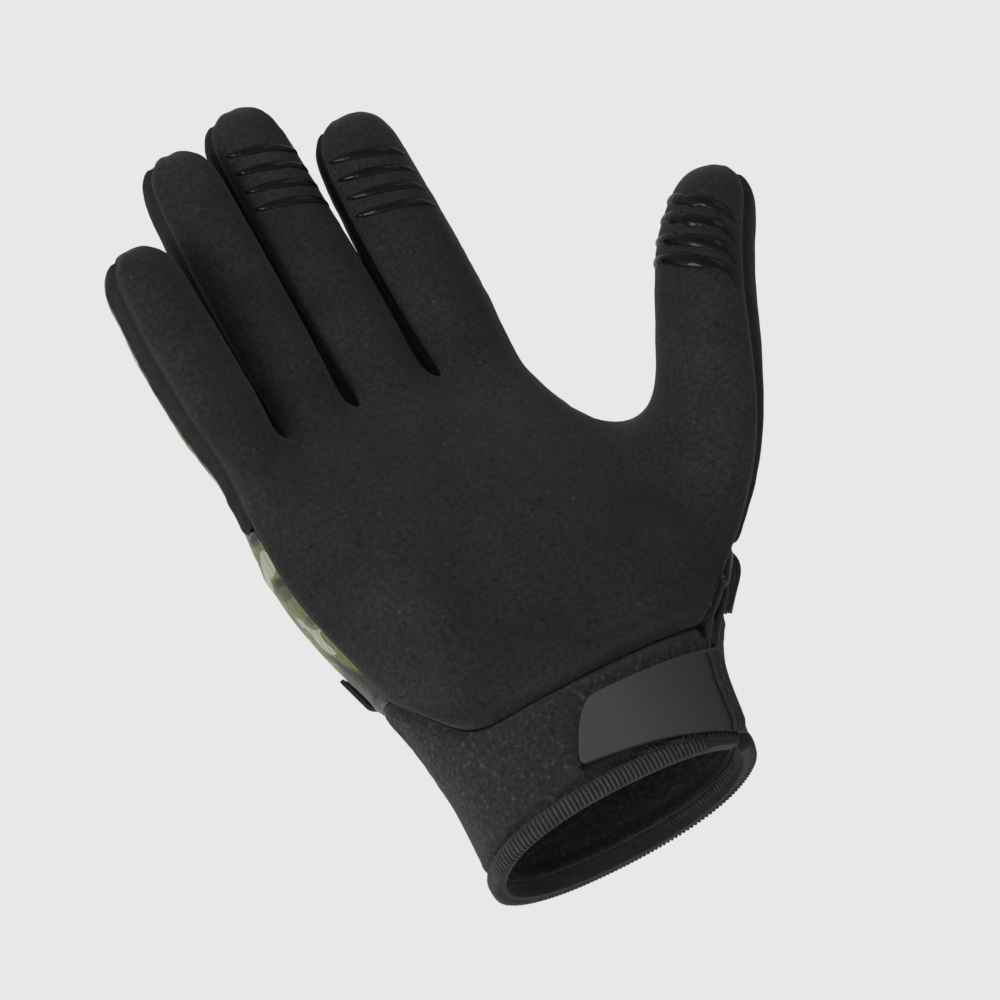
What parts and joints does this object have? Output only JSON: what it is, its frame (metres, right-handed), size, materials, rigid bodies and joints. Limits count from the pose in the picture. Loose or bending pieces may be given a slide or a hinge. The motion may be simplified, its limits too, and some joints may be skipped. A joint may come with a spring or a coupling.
{
  "type": "cycling glove",
  "caption": "Right-hand full-finger cycling glove in the form a hand gives it, with grip stripes on the fingertips, a slit cuff and a wrap-over closure tab.",
  "frame": {"origin": "middle of the wrist opening, level with the lowest point of the cuff's hem", "axes": "+Z from the wrist to the fingertips, -Y out of the palm, +X towards the thumb"},
  "size_m": [0.1586, 0.0665, 0.2139],
  "materials": {
    "palm_suede": "brushed synthetic suede, matt, with small perforations",
    "back_print": null,
    "side_cloth": "black stretch knit, matt",
    "cuff_loop_cloth": "brushed loop cloth, matt and speckled",
    "binding_tape": "folded stretch binding with overlock stitches",
    "tab_rubber": "soft matt moulded rubber, dark grey",
    "grip_silicone": "glossy printed silicone, black"
  },
  "bodies": {
    "root": {"palm_panel": "palm_suede", "back_panel": "back_print", "thumb_back": "side_cloth", "outer_side_strip": "side_cloth", "side_strip_little_ring": "side_cloth", "side_strip_ring_middle": "side_cloth", "side_strip_middle_index": "side_cloth", "cuff_palm_side": "cuff_loop_cloth", "cuff_back": "cuff_loop_cloth", "cuff_hem": "binding_tape", "slit_binding": "binding_tape", "closure_tab": "tab_rubber", "pull_loop": "binding_tape", "side_tape": "binding_tape", "grip_stripe_index_1": "grip_silicone", "grip_stripe_index_2": "grip_silicone", "grip_stripe_index_3": "grip_silicone", "grip_stripe_index_4": "grip_silicone", "grip_stripe_middle_1": "grip_silicone", "grip_stripe_middle_2": "grip_silicone", "grip_stripe_middle_3": "grip_silicone", "grip_stripe_middle_4": "grip_silicone", "grip_stripe_thumb_1": "grip_silicone", "grip_stripe_thumb_2": "grip_silicone", "grip_stripe_thumb_3": "grip_silicone", "grip_stripe_thumb_4": "grip_silicone"}
  },
  "joints": []
}
